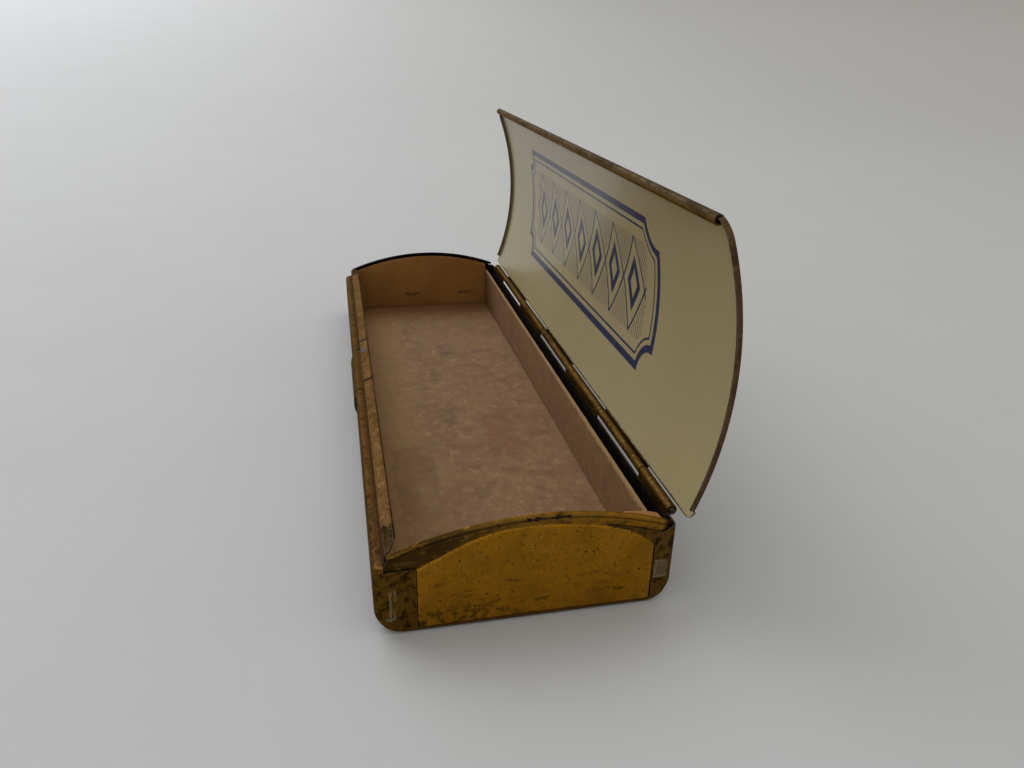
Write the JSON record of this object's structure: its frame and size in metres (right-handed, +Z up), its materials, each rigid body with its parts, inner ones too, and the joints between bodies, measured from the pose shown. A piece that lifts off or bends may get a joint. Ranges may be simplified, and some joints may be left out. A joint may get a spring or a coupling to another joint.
{
  "type": "pencil tin",
  "caption": "Long tinplate pencil box with a domed lid hinged on a wire along one side, a sprung catch tongue in the front lip and a card liner.",
  "frame": {"origin": "middle of the flat underside", "axes": "+X along the tin, +Y towards the hinge, +Z up; the lip and the catch are at -Y"},
  "size_m": [0.1854, 0.0664, 0.0763],
  "materials": {
    "tin_lacquer": "worn brown-gold lacquer on tinplate",
    "end_lacquer": "ochre-gold lacquer on tinplate, speckled",
    "wire_steel": "dull steel wire",
    "lid_enamel": "cream enamel inside, gold lacquer outside",
    "lip_lacquer": "tan lacquer on tinplate",
    "liner_card": "uncoated brown card"
  },
  "bodies": {
    "tin": {"body_shell": "tin_lacquer", "end_plate_left": "end_lacquer", "end_plate_right": "end_lacquer", "hinge_wire": "wire_steel", "card_floor": "liner_card", "card_wall_front": "liner_card", "card_wall_rear": "liner_card", "card_end_left": "liner_card", "card_end_right": "liner_card"},
    "lid": {"lid_shell": "lid_enamel"},
    "catch": {"catch_tongue": "lip_lacquer"}
  },
  "joints": [
    {"name": "lid_hinge", "type": "hinge", "parent": "tin", "child": "lid", "pos_m": [0, 0.02975, 0.0173], "axis": [-1, 0, 0], "range_deg": [-91.5, 88.5]},
    {"name": "catch_press", "type": "hinge", "parent": "tin", "child": "catch", "pos_m": [0, -0.02882, 0.007], "axis": [-1, 0, 0], "range_deg": [0, 4], "stiffness_Nm_per_rad": 0.3}
  ]
}
